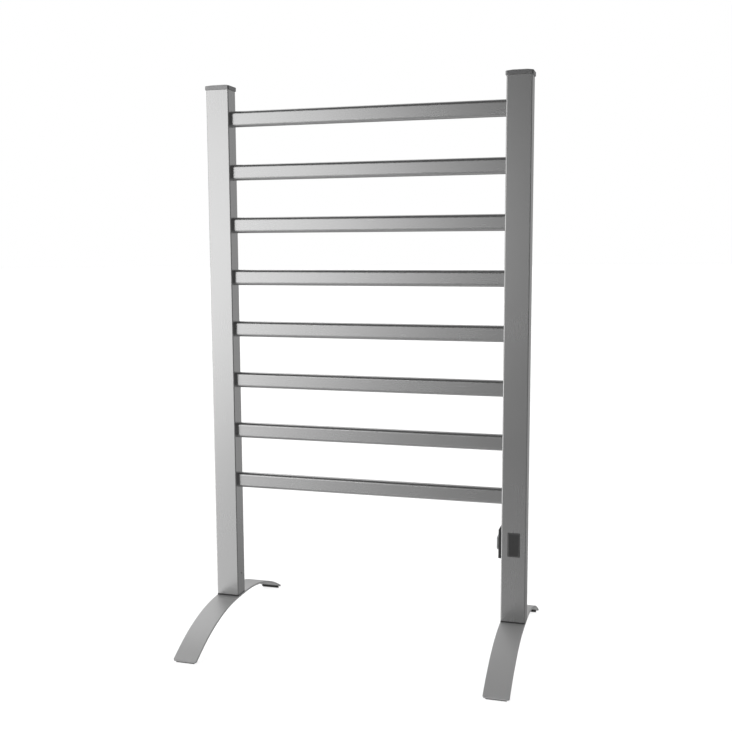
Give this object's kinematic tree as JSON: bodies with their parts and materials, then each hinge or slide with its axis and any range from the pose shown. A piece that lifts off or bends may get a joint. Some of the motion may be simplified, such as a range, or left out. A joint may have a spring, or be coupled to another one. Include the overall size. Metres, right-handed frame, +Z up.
{
  "type": "towel warmer rack",
  "caption": "Free-standing electric towel warmer: two box-section aluminium posts on arched flat feet, flat heated rungs between them, and a booted rocker switch low on one post.",
  "frame": {"origin": "on the floor, midway between the posts and below their centre line", "axes": "+X towards the switch post, +Y to the back, +Z up; the long side stands along Z"},
  "size_m": [0.5246, 0.3691, 0.8981],
  "materials": {
    "black_plastic": "fine spark texture",
    "brass": "bright",
    "cable_silicone": "red silicone",
    "cap_plastic": "satin metallic grey",
    "cast_aluminium": "machined",
    "clear_boot": "clear soft PVC",
    "earth_insulation": "green and yellow PVC",
    "foot_aluminium": "satin silver anodised",
    "fuse_case": "tinned",
    "label_film": "plain dark film",
    "live_insulation": "brown PVC",
    "neutral_insulation": "blue PVC",
    "plug_plastic": "matt dark grey",
    "post_aluminium": "satin silver anodised",
    "rocker_plastic": "polished black",
    "rubber": "matt black",
    "rung_aluminium": "satin silver anodised",
    "silicone": "translucent white",
    "sleeve_rubber": "shrunk black sleeve",
    "terminal_plastic": "off-white nylon",
    "zinc_steel": "zinc plated"
  },
  "bodies": {
    "rack": {"bezel_screws": "zinc_steel", "blank_label": "label_film", "bracket_screws": "zinc_steel", "cable_crimp_sleeves": "sleeve_rubber", "common_terminal": "brass", "cord_inlet": "rubber", "earth_lead": "earth_insulation", "earth_lug": "zinc_steel", "earth_screw": "zinc_steel", "foot_screws": "zinc_steel", "foot_washers": "zinc_steel", "heating_cable": "cable_silicone", "insert_set_screws": "zinc_steel", "left_back_pad": "rubber", "left_foot": "foot_aluminium", "left_foot_insert": "cast_aluminium", "left_front_pad": "rubber", "left_post": "post_aluminium", "left_post_plug": "plug_plastic", "left_rung_bushes": "silicone", "left_rung_screws": "zinc_steel", "left_top_cap": "cap_plastic", "live_lead": "live_insulation", "neutral_lead": "neutral_insulation", "output_lead": "live_insulation", "output_terminal": "brass", "right_back_pad": "rubber", "right_foot": "foot_aluminium", "right_foot_insert": "cast_aluminium", "right_front_pad": "rubber", "right_post": "post_aluminium", "right_post_plug": "plug_plastic", "right_rung_bushes": "silicone", "right_rung_screws": "zinc_steel", "right_top_cap": "cap_plastic", "rung_1": "rung_aluminium", "rung_2": "rung_aluminium", "rung_3": "rung_aluminium", "rung_4": "rung_aluminium", "rung_5": "rung_aluminium", "rung_6": "rung_aluminium", "rung_7": "rung_aluminium", "rung_8": "rung_aluminium", "spade_connectors": "terminal_plastic", "switch_bezel": "black_plastic", "switch_body": "black_plastic", "switch_boot": "clear_boot", "terminal_block": "terminal_plastic", "terminal_bracket": "zinc_steel", "terminal_screws": "zinc_steel", "thermal_fuse": "fuse_case"},
    "rocker": {"rocker": "rocker_plastic", "rocker_plunger": "brass", "rocker_spring": "zinc_steel"},
    "blade": {"contact_blade": "brass"}
  },
  "joints": [
    {"name": "rocker_tilt", "type": "hinge", "parent": "rack", "child": "rocker", "pos_m": [0.2217, 0, 0.177], "axis": [0, 1, 0], "range_deg": [0, 18]},
    {"name": "blade_tilt", "type": "hinge", "parent": "rack", "child": "blade", "pos_m": [0.2279, 0, 0.177], "axis": [0, 1, 0], "range_deg": [-16, 0]}
  ],
  "couplings": [
    {"joint": "blade_tilt", "follows": "rocker_tilt", "ratio": -0.88889}
  ]
}
